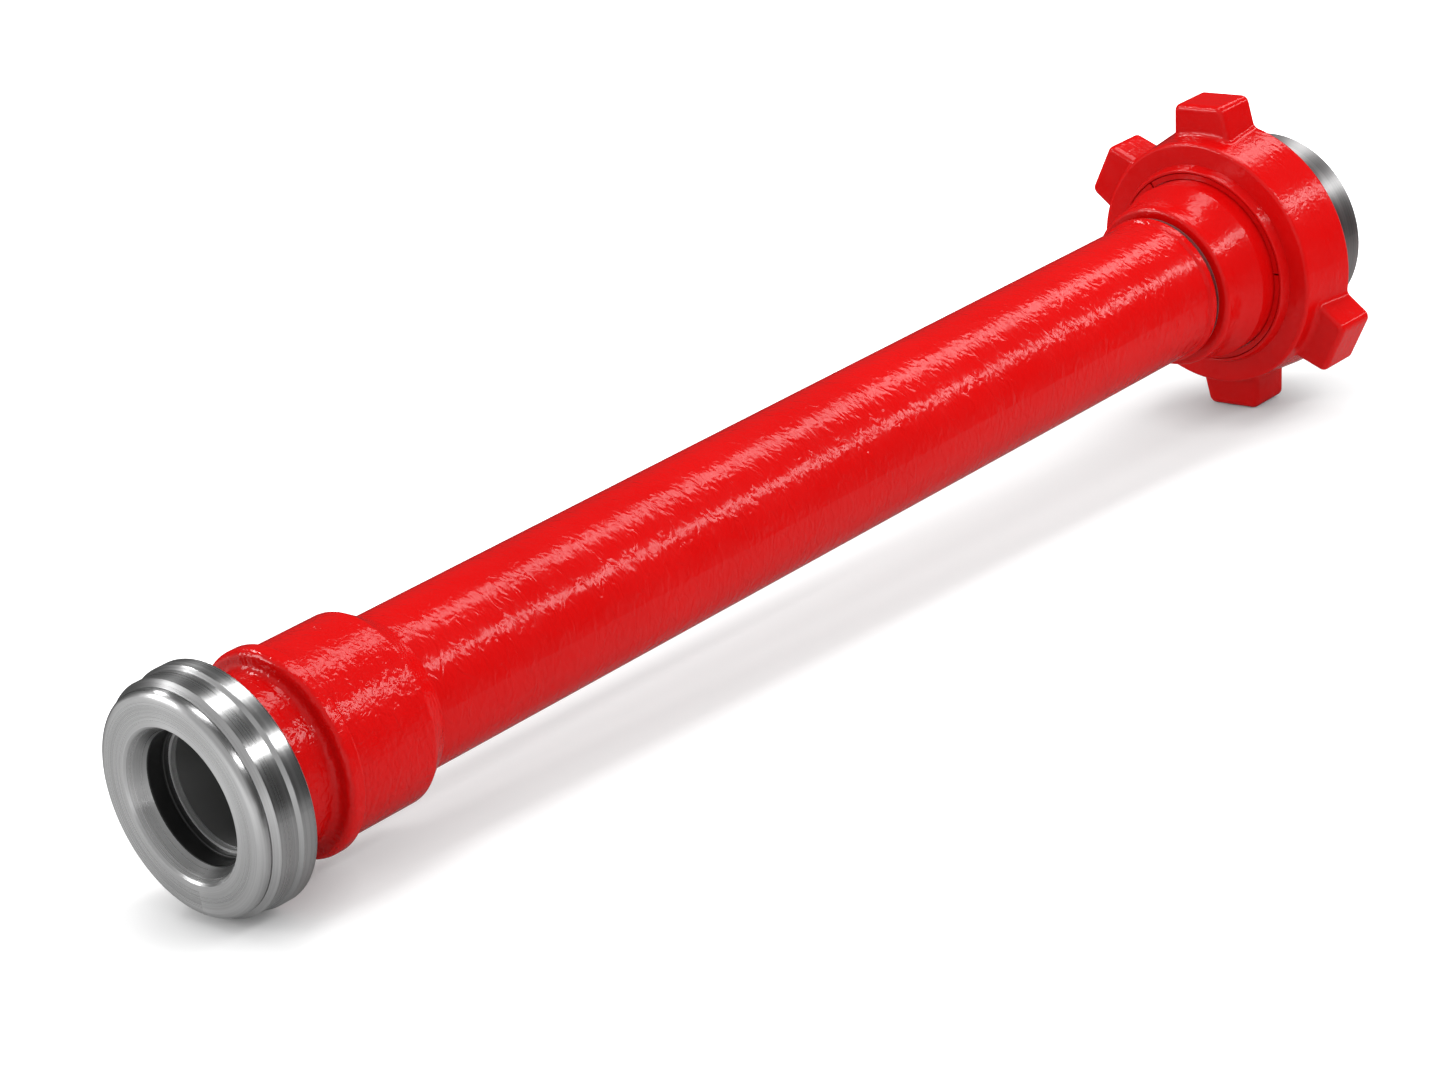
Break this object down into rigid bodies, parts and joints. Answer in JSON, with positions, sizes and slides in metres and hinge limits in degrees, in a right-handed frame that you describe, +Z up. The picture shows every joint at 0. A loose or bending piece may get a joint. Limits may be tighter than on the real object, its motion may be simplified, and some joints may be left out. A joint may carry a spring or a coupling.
{
  "type": "high-pressure straight pipe",
  "caption": "Thick-walled straight pipe with a plain female union sub at one end and a male sub with a loose hammer nut at the other",
  "frame": {"origin": "on the ground under the middle of the whole length, as the pipe lies at rest", "axes": "+Y along the pipe from the female face towards the nut, level; +X to the right seen from the female end; +Z up. The pipe's own axis climbs a little towards the nut, because it lies on the rim of the female sub and on the lowest lug"},
  "size_m": [0.1854, 0.9334, 0.1998],
  "materials": {
    "red_paint": "glossy red enamel over forged steel; the face, ring and head are bare turned steel",
    "segment_paint": "red enamel over steel, darker between the nut and the barrel",
    "bare_steel": "turned steel",
    "spring_steel": "dark spring steel",
    "black_rubber": "smooth black nitrile rubber"
  },
  "bodies": {
    "pipe_run": {"pipe": "red_paint", "female_sub": "red_paint", "male_sub": "red_paint", "seal_ring": "black_rubber", "anti_extrusion_ring": "bare_steel"},
    "segment_set": {"nut_segment_1": "segment_paint", "nut_segment_2": "segment_paint", "nut_segment_3": "segment_paint", "retainer_ring": "spring_steel"},
    "hammer_nut": {"wing_nut": "red_paint"}
  },
  "joints": [
    {"name": "nut_slide", "type": "slide", "parent": "pipe_run", "child": "segment_set", "axis": [0, 0.9992, 0.0398], "range_m": [-0.7591, 0.0283]},
    {"name": "nut_turn", "type": "hinge", "parent": "segment_set", "child": "hammer_nut", "pos_m": [0, 0.39135, 0.09964], "axis": [0, 0.9992, 0.0398], "continuous": true}
  ]
}
